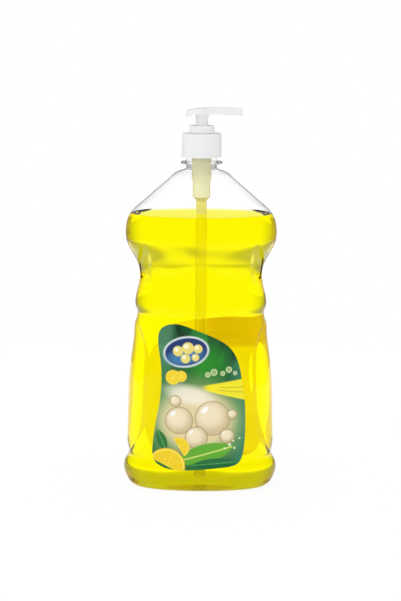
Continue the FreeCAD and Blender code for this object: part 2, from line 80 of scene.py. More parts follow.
# Neck finish
NECK_FOOT = 255.0
NECK_RADIUS = 12.4
NECK_BORE = 10.6
NECK_TOP = 286.0
NECK_CHAMFER = 0.5
LIP_BEVEL = 0.4
BORE_FOOT = 263.6
BORE_FLARE = 0.2
BORE_LEVELS = (280.0, 272.0, 266.0, 264.5)
RING_RADIUS = 16.8
RING_LOW = 265.8
RING_THICK = 1.7
RING_ROUND = 0.6
THREAD_PITCH = 4.233
THREAD_TURNS = 1.5
THREAD_START = 273.5
THREAD_HEIGHT = 1.2
THREAD_CREST_HALF = 0.6
THREAD_ROOT_HALF = 1.3
THREAD_SHARPNESS = 30

# Fillets under and over the support ring: radius beyond the neck and distance from the ring
RING_FILLET_LOW = ((0.0, 2.4), (0.0, 1.2), (0.1, 0.25))
RING_FILLET_HIGH = ((0.3, 0.1), (0.0, 0.5))

# Soap
FILL_LEVEL = 225.0
MENISCUS = 0.9
MENISCUS_REACH = 1.1

# Dip tube, pushed over the tail of the pump housing
TUBE_RADIUS = 4.3
TUBE_BORE = 3.2
TUBE_FOOT = 9.5
TUBE_TOP = 236.0

# Return spring
WIRE_RADIUS = 0.45
SPRING_RADIUS = 4.2
SPRING_LOW = 244.45
SPRING_HIGH = 255.95
SPRING_TURNS = 5.5

# Labels; the outline runs clockwise from its top, as across and up, seen from the front
LABEL_GAP = 0.08
LABEL_THICK = 0.14
LABEL_OUTLINE = np.array([
    (-23.4, 139.5), (-6.1, 136.0), (13.2, 128.0), (24.1, 120.3), (30.0, 110.0), (33.3, 96.0),
    (35.9, 78.6), (36.7, 57.5), (35.3, 35.0), (31.8, 25.5), (19.3, 21.8), (-7.9, 19.6),
    (-29.4, 21.4), (-37.0, 26.0), (-38.6, 38.0), (-36.6, 55.0), (-33.4, 72.0), (-31.4, 92.0),
    (-32.0, 108.0), (-34.1, 123.8), (-31.8, 135.4),
])

# Shading of the blown wall
BULGE_FOOT = 0.190
BULGE_RISE = 0.022
BULGE_SWAY = 0.010
BULGE_DEPTH = 0.007
WALL_WAVE = 0.0012
WALL_WAVE_SCALE = 28
DIMPLE_X = 0.0455
DIMPLE_Z = 0.186
DIMPLE_HALF_WIDTH = 0.0055
DIMPLE_HALF_HEIGHT = 0.016
DIMPLE_DEPTH = 0.006

# Colours of the clear pieces
CLEAR = (1, 1, 1)
# Painted shade for the slanted edges of the wet wall
SHADED_EDGE_AMBER = (0.62, 0.36, 0.03)
WARM_GLOSS = (1, 0.86, 0.3)

# Mesh fineness
RING_COLUMNS = 224
PROFILE_POINTS = 4000
OUTER_ROWS = 196
INNER_ROWS = 110
SOAP_ROWS = 150
PUNT_ROWS = 10
PUNT_CROWN_TURN = 0.04
FOOT_SHARES = (0.1, 0.5, 0.9, 0.97)
SOAP_FOOT_SHARES = (0.1, 0.5, 0.9)
SURFACE_SHARES = (0.998, 0.993, 0.985, 0.975, 0.96, 0.94, 0.91, 0.86, 0.75, 0.55, 0.35, 0.15)
RING_EDGE_STEPS = 12
THREAD_ROWS_FROM = 269.0
THREAD_ROW_STEP = 0.34
TUBE_COLUMNS = 64
TUBE_ROW_STEP = 4.0
SPRING_STEPS = 200
WIRE_SIDES = 12
OUTLINE_POINTS = 1600
OUTLINE_LAP = 3
LABEL_ROWS = 240
LABEL_COLUMNS = 176
LABEL_EASE = 0.25
LABEL_TIP = 0.05
DEPTH_HALVINGS = 30
SLOPE_STEP = 0.05

# Table
TABLE_HALF = 0.6
TABLE_WHITENESS = 0.94
TABLE_GLOW = 0.92
TABLE_GLOW_IN_GLASS = 0.45

# Camera, in front of the bottle and a little higher than its top; angles in degrees
CAMERA_PLACE = (-0.00025, -1.6, 0.421)
CAMERA_PITCH = 9.5
CAMERA_ROLL = 0.35
CAMERA_LENS = 118.6
CAMERA_SENSOR = 36.0


def smooth(value):
    """Eases 0 to 1 with no corner at either end."""
    value = np.clip(value, 0.0, 1.0)
    return value * value * (3 - 2 * value)


def spline(knots, values):
    """Natural cubic curve through rows of values at the knots."""
    gaps = np.diff(knots)
    slopes = np.diff(values, axis=0) / gaps[:, None]
    count = len(knots)
    system = np.eye(count)
    right = np.zeros_like(values)
    for i in range(1, count - 1):
        system[i, i - 1:i + 2] = gaps[i - 1], 2 * (gaps[i - 1] + gaps[i]), gaps[i]
        right[i] = 6 * (slopes[i] - slopes[i - 1])
    bends = np.linalg.solve(system, right)

    def curve(at):
        i = np.clip(np.searchsorted(knots, at, side="right") - 1, 0, count - 2)
        gap = gaps[i][:, None]
        after = (at - knots[i])[:, None]
        before = gap - after
        bow = (bends[i] * before ** 3 + bends[i + 1] * after ** 3) / (6 * gap)
        low = (values[i] / gap - bends[i] * gap / 6) * before
        high = (values[i + 1] / gap - bends[i + 1] * gap / 6) * after
        return bow + low + high

    return curve


def chord_lengths(steps):
    """Distances along a row of points from the steps between them."""
    return np.concatenate([[0.0], np.cumsum(np.hypot(*steps))])


# The body's profile as a curve over the distance along it
CHORDS = chord_lengths((np.diff(SECTIONS[:, 0]), np.diff(SECTIONS[:, 1] + SECTIONS[:, 2]) / 2))
BODY = spline(CHORDS, SECTIONS)
PROFILE_CHORDS = np.linspace(0, CHORDS[-1], PROFILE_POINTS)
PROFILE = BODY(PROFILE_CHORDS)


def body_at(heights):
    """Half width, half depth and fullness of the body at these heights."""
    return [np.interp(heights, PROFILE[:, 0], PROFILE[:, i]) for i in (1, 2, 3)]


def chord_at(height):
    """Place along the body's profile at this height."""
    return float(np.interp(height, PROFILE[:, 0], PROFILE_CHORDS))


def quarter_oval(s, fullness):
    """Shares of the half width and the half depth along a quarter of an oval, as s goes from 0 to 1."""
    wide = (1 - s) ** 3 + 3 * (1 - s) ** 2 * s + 3 * (1 - s) * s ** 2 * fullness
    deep = 3 * (1 - s) ** 2 * s * fullness + 3 * (1 - s) * s ** 2 + s ** 3
    return wide, deep


def ovals(heights, half_widths, half_depths, fullness, columns=RING_COLUMNS):
    """Rings of four cubic curves each, as an array of rows by columns by x, y and z."""
    s = np.arange(columns // 4) / (columns // 4)
    a, b, full = (np.asarray(values, float)[:, None] for values in (half_widths, half_depths, fullness))
    wide, deep = quarter_oval(s, full)
    x = np.concatenate([a * wide, -a * deep, -a * wide, a * deep], axis=1)
    y = np.concatenate([b * deep, b * wide, -b * deep, -b * wide], axis=1)
    z = np.broadcast_to(np.asarray(heights, float)[:, None], x.shape)
    return np.stack([x, y, z], axis=-1)


def body_rings(chords, inset, floor=0.0):
    """Rings of the body moved inwards by inset, with its foot raised by floor."""
    rows = BODY(chords)
    slope = BODY(np.minimum(chords + SLOPE_STEP, CHORDS[-1])) - BODY(np.maximum(chords - SLOPE_STEP, 0))
    rise = slope[:, 0]
    spread = (slope[:, 1] + slope[:, 2]) / 2
    length = np.hypot(rise, spread)
    ends = smooth(chords / END_BLEND) * smooth((CHORDS[-1] - chords) / END_BLEND)
    heights = rows[:, 0] + inset * spread / length * ends
    heights = np.where(heights < 2 * floor, floor + heights / 2, heights)
    inward = inset * rise / length
    return ovals(heights, rows[:, 1] - inward, rows[:, 2] - inward, rows[:, 3])


def panelled(chords, inset, floor=0.0):
    """Body rings with the petal-shaped grip panels sunk into both sides."""
    outer = body_rings(chords, inset, floor)
    sunk = body_rings(chords, inset + PANEL_SINK, floor)
    across = np.abs(outer[..., 1] / (PANEL_HALF_DEPTH + inset)) ** PANEL_POWER
    along = np.abs((outer[..., 2] - PANEL_MIDDLE) / (PANEL_HALF_HEIGHT + inset)) ** PANEL_POWER
    reach = (across + along) ** (1 / PANEL_POWER)
    depth = smooth((1 - reach) / PANEL_EDGE)[..., None]
    return outer + (sunk - outer) * depth


def punt_rings(growth):
    """Rings of the push-up, grown by this much, from its crown down to the foot."""
    turn = np.linspace(PUNT_CROWN_TURN, math.pi / 2, PUNT_ROWS)
    heights = (PUNT_RISE + growth) * np.cos(turn)
    widths = (PUNT_WIDTH + growth) * np.sin(turn)
    depths = (PUNT_DEPTH + growth) * np.sin(turn)
    return ovals(heights, widths, depths, np.full(PUNT_ROWS, ROUND))


def between(first, last, shares):
    """Rings that lead from one ring to another at these shares of the way."""
    return np.stack([first + (last - first) * share for share in shares])


def round_rings(profile, columns=RING_COLUMNS):
    """Rings of revolution from radius and height pairs."""
    radii = [radius for radius, height in profile]
    heights = [height for radius, height in profile]
    return ovals(heights, radii, radii, np.full(len(radii), ROUND), columns)


def add_thread(rings):
    """Raises the screw ridge on the neck's rings."""
    turns = np.mod(np.arctan2(rings[..., 1], rings[..., 0]) / (2 * math.pi), 1)
    lift = np.zeros(turns.shape)
    for lap in range(math.ceil(THREAD_TURNS)):
        along = turns + lap
        centre = THREAD_START + THREAD_PITCH * along
        off = np.abs(rings[..., 2] - centre)
        ridge = smooth((THREAD_ROOT_HALF - off) / (THREAD_ROOT_HALF - THREAD_CREST_HALF))
        fade = smooth(along * THREAD_SHARPNESS) * smooth((THREAD_TURNS - along) * THREAD_SHARPNESS)
        lift = np.maximum(lift, ridge * fade)
    radius = np.hypot(rings[..., 0], rings[..., 1])
    scale = 1 + THREAD_HEIGHT * lift / radius
    rings = rings.copy()
    rings[..., 0] *= scale
    rings[..., 1] *= scale
    return rings


def neck_rings():
    """Outside of the neck: support ring, thread and lip."""
    ring_high = RING_LOW + RING_THICK
    ring_middle = RING_LOW + RING_THICK / 2
    profile = [(NECK_RADIUS + out, RING_LOW - under) for out, under in RING_FILLET_LOW]
    for turn in np.linspace(-math.pi / 2, math.pi / 2, RING_EDGE_STEPS + 1):
        radius = RING_RADIUS - RING_ROUND + RING_ROUND * math.cos(turn)
        profile.append((radius, ring_middle + RING_THICK / 2 * math.sin(turn)))
    profile += [(NECK_RADIUS + out, ring_high + over) for out, over in RING_FILLET_HIGH]
    for height in np.arange(THREAD_ROWS_FROM, NECK_TOP - NECK_CHAMFER, THREAD_ROW_STEP):
        profile.append((NECK_RADIUS, height))
    profile.append((NECK_RADIUS, NECK_TOP - NECK_CHAMFER))
    profile.append((NECK_RADIUS - NECK_CHAMFER, NECK_TOP))
    return add_thread(round_rings(profile))


def bore_rings():
    """Inside of the neck from its lip down to the shoulder."""
    profile = [(NECK_BORE + LIP_BEVEL, NECK_TOP), (NECK_BORE, NECK_TOP - LIP_BEVEL)]
    profile += [(NECK_BORE, level) for level in BORE_LEVELS]
    profile.append((NECK_BORE + BORE_FLARE, BORE_FOOT))
    return round_rings(profile)


def ring_faces(rows, columns, wrapped=False):
    """Four-sided faces between neighbouring rings; wrapped also joins the last ring to the first."""
    row = np.arange(rows if wrapped else rows - 1)[:, None]
    here = np.arange(columns)[None, :]
    there = (here + 1) % columns
    low = row * columns
    high = (row + 1) % rows * columns
    quads = np.stack([low + here, low + there, high + there, high + here], axis=-1)
    return [tuple(quad) for quad in quads.reshape(-1, 4).tolist()]


def closed_skin(name, rings):
    """Mesh of rings joined in order, with a point in the middle of the first and of the last."""
    rows, columns = rings.shape[:2]
    ends = np.stack([rings[0].mean(axis=0), rings[-1].mean(axis=0)])
    points = np.concatenate([rings.reshape(-1, 3), ends])
    faces = ring_faces(rows, columns)
    first = rows * columns
    last_row = (rows - 1) * columns
    for i in range(columns):
        j = (i + 1) % columns
        faces.append((first, j, i))
        faces.append((first + 1, last_row + i, last_row + j))
    return make_mesh(name, points, faces)


def make_mesh(name, points, faces):
    """Smooth-shaded object from points in millimetres, turned so that its faces look outwards."""
    mesh = bpy.data.meshes.new(name)
    mesh.from_pydata((points * MM).tolist(), [], faces)
    mesh.update()
    if signed_volume(points, faces) < 0:
        mesh.flip_normals()
    mesh.polygons.foreach_set("use_smooth", [True] * len(mesh.polygons))
    obj = bpy.data.objects.new(name, mesh)
    bpy.context.scene.collection.objects.link(obj)
    return obj


def signed_volume(points, faces):
    """Volume inside a closed mesh, below zero when its faces look inwards."""
    total = 0.0
    fours = np.array([face for face in faces if len(face) == 4])
    threes = np.array([face for face in faces if len(face) == 3])
    halves = [fours[:, :3], fours[:, [0, 2, 3]]] if len(fours) else []
    if len(threes):
        halves.append(threes)
    for half in halves:
        a, b, c = (points[half[:, i]] for i in range(3))
        total += float(np.einsum("ij,ij->i", a, np.cross(b, c)).sum())
    return total


def build_bottle():
    """Blown bottle: an outside and an inside skin that meet at the lip."""
    outside = panelled(np.linspace(0, CHORDS[-1], OUTER_ROWS), 0.0)
    punt = punt_rings(0.0)
    inside = panelled(np.linspace(CHORDS[-1], 0, INNER_ROWS), WALL, BASE_WALL)
    inner_punt = punt_rings(BASE_WALL)[::-1]
    inner_punt = inner_punt[inner_punt[:, 0, 2] > BASE_WALL]
    foot = between(punt[-1], outside[0], FOOT_SHARES)
    inner_foot = between(inside[-1], inner_punt[0], FOOT_SHARES)
    outer = np.concatenate([punt, foot, outside, neck_rings()])
    inner = np.concatenate([bore_rings(), inside, inner_foot, inner_punt])
    bottle = closed_skin("bottle_skin", np.concatenate([outer, inner]))
    set_wall_slots(bottle, len(outer), len(outer) + len(inner))
    return bottle


def set_wall_slots(bottle, outer_rows, rows):
    """Gives faces slot 0 where the wall is dry, 1 outside and 2 inside where soap wets it, 3 on the neck."""
    for face in bottle.data.polygons:
        row = face.index // RING_COLUMNS
        if row < rows - 1:
            inner = row >= outer_rows
        else:
            # Faces round the middles of the two push-ups come last, outside and inside in turn
            inner = face.index % 2 == 1
        if face.center.z < FILL_LEVEL * MM:
            face.material_index = 2 if inner else 1
        elif face.center.z > NECK_FOOT * MM:
            face.material_index = 3


def build_soap():
    """Soap whose skin lies in the middle of the wall, with a meniscus at its rim."""
    inset = WALL / 2
    floor = BASE_WALL / 2
    punt = punt_rings(floor)
    punt = punt[punt[:, 0, 2] > floor]
    sides = panelled(np.linspace(0, chord_at(FILL_LEVEL + MENISCUS), SOAP_ROWS), inset, floor)
    rim = sides[-1].copy()
    centre = np.array([0.0, 0.0, rim[0, 2]])
    top = []
    for share in SURFACE_SHARES:
        ring = centre + (rim - centre) * share
        away = np.hypot(rim[:, 0] - ring[:, 0], rim[:, 1] - ring[:, 1])
        ring[:, 2] = FILL_LEVEL + (rim[0, 2] - FILL_LEVEL) * np.exp(-away / MENISCUS_REACH)
        top.append(ring)
    foot = between(punt[-1], sides[0], SOAP_FOOT_SHARES)
    return closed_skin("soap_fill", np.concatenate([punt, foot, sides, np.stack(top)]))


def build_tube():
    """Open-ended tube as rings up the outside and down the bore, in slot 1 where soap wets it."""
    first_row = math.ceil(TUBE_FOOT / TUBE_ROW_STEP) * TUBE_ROW_STEP
    rows = np.arange(first_row, TUBE_TOP, TUBE_ROW_STEP)
    heights = np.unique([TUBE_FOOT, FILL_LEVEL, *rows, TUBE_TOP])
    profile = [(TUBE_RADIUS, height) for height in heights]
    profile += [(TUBE_BORE, height) for height in heights[::-1]]
    rings = round_rings(profile, TUBE_COLUMNS)
    faces = ring_faces(len(profile), TUBE_COLUMNS, wrapped=True)
    tube = make_mesh("tube_extrusion", rings.reshape(-1, 3), faces)
    for face in tube.data.polygons:
        face.material_index = 0 if face.center.z > FILL_LEVEL * MM else 1
    return tube


def build_spring():
    """Round wire coil with plain ends."""
    turns = np.linspace(0, 2 * math.pi * SPRING_TURNS, SPRING_STEPS)
    heights = np.linspace(SPRING_LOW, SPRING_HIGH, SPRING_STEPS)
    sides = np.linspace(0, 2 * math.pi, WIRE_SIDES, endpoint=False)
    out = SPRING_RADIUS + WIRE_RADIUS * np.cos(sides)
    x = np.cos(turns)[:, None] * out
    y = np.sin(turns)[:, None] * out
    z = heights[:, None] + WIRE_RADIUS * np.sin(sides)
    return closed_skin("spring_coil", np.stack([x, y, z], axis=-1))


def outline_chains():
    """Left and right edges of the label, as places across and up that go from its foot to its top."""
    # A few points more at both ends let the curve close smoothly
    loop = np.vstack([LABEL_OUTLINE[-OUTLINE_LAP:], LABEL_OUTLINE, LABEL_OUTLINE[:OUTLINE_LAP]])
    chords = chord_lengths(np.diff(loop, axis=0).T)
    places = np.linspace(chords[OUTLINE_LAP], chords[-OUTLINE_LAP], OUTLINE_POINTS)[:-1]
    points = spline(chords, loop)(places)
    top = int(np.argmax(points[:, 1]))
    points = np.roll(points, -top, axis=0)
    bottom = int(np.argmin(points[:, 1]))
    right = points[: bottom + 1][::-1]
    left = np.vstack([points[bottom:], points[:1]])
    return left, right


def label_grid():
    """Places across and up the label, as rows by columns."""
    left, right = outline_chains()
    low, high = left[:, 1].min(), left[:, 1].max()
    # Rows lie closer together at the foot and the top, where the outline runs flat
    share = np.linspace(0, 1, LABEL_ROWS)
    eased = (1 - np.cos(np.pi * share)) / 2
    z = low + (high - low) * ((1 - LABEL_EASE) * share + LABEL_EASE * eased)
    z[0] += LABEL_TIP
    z[-1] -= LABEL_TIP
    x_left = np.interp(z, left[:, 1], left[:, 0])
    x_right = np.interp(z, right[:, 1], right[:, 0])
    x = x_left[:, None] + (x_right - x_left)[:, None] * np.linspace(0, 1, LABEL_COLUMNS)
    return x, np.broadcast_to(z[:, None], x.shape)


def front_depth(x, z):
    """Distance of the body's surface from the middle plane, found by halving the range it lies in."""
    half_width, half_depth, fullness = body_at(z)
    goal = np.abs(x) / half_width
    low = np.zeros(x.shape)
    high = np.ones(x.shape)
    for halving in range(DEPTH_HALVINGS):
        s = (low + high) / 2
        share = quarter_oval(s, fullness)[0]
        low = np.where(share > goal, s, low)
        high = np.where(share > goal, high, s)
    return half_depth * quarter_oval((low + high) / 2, fullness)[1]


def film_faces(rows, columns):
    """Faces of a thin film: its outer side, its inner side and the rim between them."""
    index = np.arange(rows * columns).reshape(rows, columns)
    corners = [index[:-1, :-1], index[:-1, 1:], index[1:, 1:], index[1:, :-1]]
    quads = np.stack(corners, axis=-1).reshape(-1, 4)
    rim = np.concatenate([index[0, :-1], index[:-1, -1], index[-1, :0:-1], index[:0:-1, 0]])
    after = np.roll(rim, -1)
    inner = rows * columns
    sides = np.stack([rim, rim + inner, after + inner, after], axis=-1)
    return [tuple(face) for face in np.concatenate([quads, quads[:, ::-1] + inner, sides]).tolist()]


def build_label(name, side, paint, lining):
    """Film over the front (side -1) or the back (side 1), coloured by formulas of place."""
    x, z = label_grid()
    depth = front_depth(x, z)
    layers = []
    for off in (LABEL_GAP + LABEL_THICK, LABEL_GAP):
        layers.append(np.stack([-side * x, side * (depth + off), z], axis=-1).reshape(-1, 3))
    label = make_mesh(name, np.concatenate(layers), film_faces(*x.shape))
    colours = np.ones((2 * x.size, 4))
    colours[:x.size, :3] = paint(x, z).reshape(-1, 3)
    colours[x.size:, :3] = lining(x, z).reshape(-1, 3)
    print_layer = label.data.color_attributes.new("print", "FLOAT_COLOR", "POINT")
    print_layer.data.foreach_set("color", colours.ravel())
    return label


def srgb(red, green, blue):
    """Linear colour from screen values of 0 to 255."""
    values = np.array([red, green, blue]) / 255
    return np.where(values <= 0.04045, values / 12.92, ((values + 0.055) / 1.055) ** 2.4)


def turned(across, up, degrees):
    """Distances along and beside a line that is turned by this angle."""
    angle = math.radians(degrees)
    along = across * math.cos(angle) + up * math.sin(angle)
    beside = up * math.cos(angle) - across * math.sin(angle)
    return along, beside


class Artwork:
    """Print of a label: its linear colours at places across (x) and up (z) the film."""

    def __init__(self, x, z, ground):
        self.x = x
        self.z = z
        self.colours = np.broadcast_to(srgb(*ground), x.shape + (3,))

    def lay(self, colour, mask):
        """Lays a colour over the print where the mask is above 0."""
        self.colours = self.colours + (srgb(*colour) - self.colours) * mask[..., None]

    def disc(self, centre, radii, turn=0.0, soft=0.08):
        """Mask of an ellipse, 1 inside with a soft edge."""
        along, beside = turned(self.x - centre[0], self.z - centre[1], turn)
        return smooth((1 + soft - np.hypot(along / radii[0], beside / radii[1])) / (2 * soft))

    def spot(self, colour, centre, radii, turn=0.0, soft=0.08, share=1.0):
        """Lays an ellipse of a colour; share is how much it covers."""
        self.lay(colour, self.disc(centre, radii, turn, soft) * share)

    def hoop(self, colour, centre, radius, width, share=1.0):
        """Draws a thin circle."""
        off = np.abs(np.hypot(self.x - centre[0], self.z - centre[1]) - radius)
        self.lay(colour, smooth((width - off) / width) * share)

    def leaf(self, colour, vein_colour, centre, length, width, turn):
        """Draws a pointed leaf with its middle vein."""
        along, beside = turned(self.x - centre[0], self.z - centre[1], turn)
        room = np.clip(1 - (along / length) ** 2, 0, 1)
        off = np.abs(beside / width)
        body = smooth((room - off) * 6 + 0.5)
        vein = smooth((0.1 - off) * 14) * (room > 0.15)
        self.lay(colour, body)
        self.lay(vein_colour, vein * body)

    def lemon(self, centre, radius, turn=0.0, cut=None):
        """Draws a lemon slice with rind, pith and segments; cut keeps it on one side of a line."""
        across, up = self.x - centre[0], self.z - centre[1]
        distance = np.hypot(across, up)
        around = np.arctan2(up, across) + math.radians(turn)
        keep = np.ones(self.x.shape)
        if cut is not None:
            keep = smooth(turned(across, up, cut)[0] / 0.5 + 0.5)
        ribs = smooth(np.abs(np.sin(4 * around)) * distance / 0.6 - 0.4)
        self.lay((246, 190, 4), smooth((radius - distance) / 0.4 + 0.5) * keep)
        self.lay((255, 240, 96), smooth((0.95 * radius - distance) / 0.4 + 0.5) * keep)
        self.lay((248, 212, 10), smooth((0.88 * radius - distance) / 0.5 + 0.5) * keep * ribs)


def paint_grass(art):
    """Grass blades that fan out from the middle over a green that deepens upwards."""
    x, z = art.x, art.z
    sway = np.sin(0.19 * x + 0.07 * z) + np.sin(0.11 * z - 0.23 * x + 1.3)
    around = np.arctan2(z - 72, x + 2)
    pale_blades = smooth(np.sin(9 * around + 1.2 * sway) * 1.7 - 0.6)
    dark_blades = smooth(np.sin(14 * around - sway + 2.0) * 2 - 0.9)
    left_mist = smooth((-21 - x + 0.12 * (z - 110)) / 8)
    art.lay((8, 84, 38), smooth((z - 20) / 120))
    art.lay((46, 160, 52), pale_blades * smooth((z - 92) / 22) * 0.55)
    art.lay((2, 46, 24), dark_blades * smooth((z - 96) / 20) * 0.7)
    art.spot((34, 150, 24), (5, 108), (14, 14), -20, 0.8, 0.85)
    art.lay((96, 158, 120), left_mist * smooth((z - 92) / 20) * 0.55)
    art.lay((52, 132, 96), smooth((x - 20) / 12) * smooth((118 - z) / 14) * 0.8)
    art.spot((70, 140, 84), (-28, 86), (12, 24), 0, 0.5, 0.7)


def paint_bubble(art, centre, radius):
    """Soap bubble with a glow and a small window of light."""
    across, up = centre
    ball = art.disc(centre, (radius, radius), 0, 0.06)
    glow = art.disc((across - 0.15 * radius, up + 0.2 * radius), (0.8 * radius, 0.75 * radius), 0, 0.5)
    art.lay((206, 184, 142), ball * 0.7)
    art.lay((246, 232, 198), glow * ball)
    art.hoop((166, 140, 96), centre, radius, 0.7, 0.9)
    art.spot((255, 255, 252), (across - 0.45 * radius, up + 0.5 * radius), (0.25 * radius, 0.14 * radius), 45)


def paint_glow(art):
    """Cream glow with soap bubbles and a soft line of shade under them."""
    art.spot((160, 196, 120), (-3, 61), (35, 30), 0, 0.45, 0.8)
    art.spot((232, 216, 168), (-3, 61), (29, 24), 0, 0.3)
    art.spot((252, 244, 226), (-8, 82), (18, 7), -12, 0.5, 0.8)
    bubbles = (((-17, 61), 11), ((10, 63), 14), ((-3, 47), 9), ((22, 48), 6), ((-20, 77), 4.5), ((26, 66), 4))
    for centre, radius in bubbles:
        paint_bubble(art, centre, radius)
    shade = smooth((1.1 - np.abs(art.z - 37 - 0.03 * art.x)) * 2)
    art.lay((190, 160, 104), shade * art.disc((-2, 37), (22, 5)) * 0.6)


def paint_strip(art):
    """Yellow strip that narrows from the right edge, with two fine lines on it."""
    x, z = art.x, art.z
    top = 95.5 - 0.16 * (37 - x)
    low = 77.5 + 0.26 * (37 - x)
    strip = smooth((top - z) / 0.8 + 0.5) * smooth((z - low) / 0.8 + 0.5)
    art.lay((250, 236, 24), strip * smooth((x + 1) / 9))
    for share in (0.35, 0.6):
        line = low + (top - low) * share
        art.lay((150, 150, 20), smooth((0.6 - np.abs(z - line)) * 2) * smooth((x - 12) / 6) * 0.7)


def paint_patch(art):
    """Blue oval with a pale rim and lemon-coloured bubbles on it."""
    across, up = -11.5, 117.5
    art.spot((226, 238, 236), (across, up), (18.6, 12.6), 10, 0.05)
    art.spot((20, 52, 116), (across, up), (17.2, 11.2), 10, 0.05)
    art.spot((72, 140, 190), (across - 1, up - 4), (14, 6), 10, 0.5, 0.8)
    balls = (((-18, 118), 4.2), ((-10, 120.5), 4.8), ((-2, 120), 3.6), ((-12, 112), 3.8), ((-4, 113), 3.0))
    for centre, radius in balls:
        light = (centre[0] - 0.3 * radius, centre[1] + 0.3 * radius)
        art.spot((238, 222, 120), centre, (radius, radius), 0, 0.1)
        art.spot((255, 250, 214), light, (0.45 * radius, 0.4 * radius), 0, 0.4)


def paint_middle(art):
    """Two lemon slices and a row of small bubbles under the oval."""
    art.lemon((-15.5, 97.5), 4.6, 20)
    art.lemon((-22.0, 96.5), 6.0, 0)
    bubbles = (((6, 99), 1.8), ((11, 101), 2.4), ((18, 100), 1.6), ((23, 103), 2.1), ((28, 100), 1.3))
    for centre, radius in bubbles:
        art.spot((206, 226, 150), centre, (radius, radius), 0, 0.2, 0.5)
        art.hoop((232, 240, 190), centre, radius, 0.6)


def paint_foot(art):
    """Leaves, lemon slices and drops at the foot."""
    art.leaf((96, 176, 40), (214, 232, 120), (4, 33), 25, 8.5, 16)
    art.leaf((20, 112, 58), (90, 176, 96), (12, 25), 20, 4.5, 4)
    art.leaf((26, 116, 48), (120, 190, 100), (-31, 44), 10, 4, 112)
    art.lemon((-17, 38.5), 8.5, 10, 30)
    art.lemon((-27, 22.5), 15, 25, 66)
    drops = (((24, 41), 1.1), ((28, 38), 0.9), ((20, 38), 0.8), ((27, 44), 0.7), ((32, 46), 0.7))
    for centre, radius in drops:
        art.spot((238, 246, 224), centre, (radius, radius), 0, 0.3)


def paint_front(x, z):
    """Front print: lemons, leaves and bubbles on green."""
    art = Artwork(x, z, (22, 112, 52))
    paint_grass(art)
    paint_glow(art)
    paint_strip(art)
    paint_patch(art)
    paint_middle(art)
    paint_foot(art)
    return art.colours


def paint_back(x, z):
    """Back print: amber fields, a lemon slice and circles, with a clear margin on one side."""
    art = Artwork(x, z, (253, 246, 200))
    art.lay((232, 208, 140), smooth((z - 108) / 6) * smooth((8 - x) / 16))
    art.lay((244, 228, 170), smooth((26 - z) / 4))
    bar = smooth((6 - np.abs(z - 98)) / 2)
    art.lay((236, 250, 200), bar * smooth((x + 22) / 6) * smooth((20 - x) / 6))
    art.lemon((-10, 70), 9, 12)
    for centre, radius in (((12, 56), 8), ((2, 44), 5), ((-20, 48), 6)):
        art.hoop((214, 190, 110), centre, radius, 0.8)
    art.lay((255, 254, 246), smooth((x - 25) / 3))
    return art.colours


def lining_front(x, z):
    """Inner face of the front film as it is seen through the soap."""
    wave = 0.02 * np.sin(0.3 * x) * np.sin(0.2 * z)
    return srgb(214, 208, 150) * (1 + wave)[..., None]


def lining_back(x, z):
    """Inner face of the rear film, almost clear."""
    wave = 0.03 * np.sin(0.16 * x + 1) * np.sin(0.11 * z)
    return srgb(255, 248, 222) * (0.98 + wave)[..., None]


def new_material(name):
    """Material with its principled shader and its node tree."""
    mat = bpy.data.materials.new(name)
    mat.use_nodes = True
    return mat, mat.node_tree.nodes["Principled BSDF"], mat.node_tree


def plug(tree, value, socket):
    """Sets a socket to a number, or joins it to another socket."""
    if isinstance(value, (int, float)):
        socket.default_value = value
    else:
        tree.links.new(value, socket)


def maths(tree, operation, *values):
    """Result of a maths node on sockets or numbers."""
    node = tree.nodes.new("ShaderNodeMath")
    node.operation = operation
    for socket, value in zip(node.inputs, values):
        plug(tree, value, socket)
    return node.outputs[0]


def ease(tree, value, low, high, start, end):
    """Smooth step from start to end while the value goes from low to high."""
    node = tree.nodes.new("ShaderNodeMapRange")
    node.interpolation_type = "SMOOTHSTEP"
    node.inputs["From Min"].default_value = low
    node.inputs["From Max"].default_value = high
    node.inputs["To Min"].default_value = start
    node.inputs["To Max"].default_value = end
    tree.links.new(value, node.inputs["Value"])
    return node.outputs["Result"]


def mix_levels(tree, share, first, second):
    """Level between two levels by a share from 0 to 1."""
    rest = maths(tree, "SUBTRACT", 1.0, share)
    return maths(tree, "ADD", maths(tree, "MULTIPLY", rest, first), maths(tree, "MULTIPLY", share, second))


def mix_colours(tree, share, first, second):
    """Colour between two colours by a share from 0 to 1."""
    mix = tree.nodes.new("ShaderNodeMix")
    mix.data_type = "RGBA"
    mix.inputs[6].default_value = (*first, 1)
    mix.inputs[7].default_value = (*second, 1)
    tree.links.new(share, mix.inputs[0])
    return mix.outputs[2]


def mix_surfaces(tree, share, first, second):
    """Makes the surface a mix of two shaders by a share from 0 to 1."""
    mix = tree.nodes.new("ShaderNodeMixShader")
    plug(tree, share, mix.inputs[0])
    tree.links.new(first.outputs[0], mix.inputs[1])
    tree.links.new(second.outputs[0], mix.inputs[2])
    tree.links.new(mix.outputs[0], tree.nodes["Material Output"].inputs["Surface"])


def place_noise(tree, scale, detail=3.0):
    """Noise that is fixed to the object."""
    place = tree.nodes.new("ShaderNodeTexCoord")
    noise = tree.nodes.new("ShaderNodeTexNoise")
    noise.inputs["Scale"].default_value = scale
    noise.inputs["Detail"].default_value = detail
    tree.links.new(place.outputs["Object"], noise.inputs["Vector"])
    return noise.outputs["Fac"]


def raise_surface(tree, shader, height, strength, distance):
    """Shades the surface as if it rose and fell with this height."""
    bump = tree.nodes.new("ShaderNodeBump")
    bump.inputs["Strength"].default_value = strength
    bump.inputs["Distance"].default_value = distance
    tree.links.new(height, bump.inputs["Height"])
    tree.links.new(bump.outputs["Normal"], shader.inputs["Normal"])


def add_bump(tree, shader, scale, strength, distance):
    """Fine unevenness of the surface."""
    raise_surface(tree, shader, place_noise(tree, scale), strength, distance)


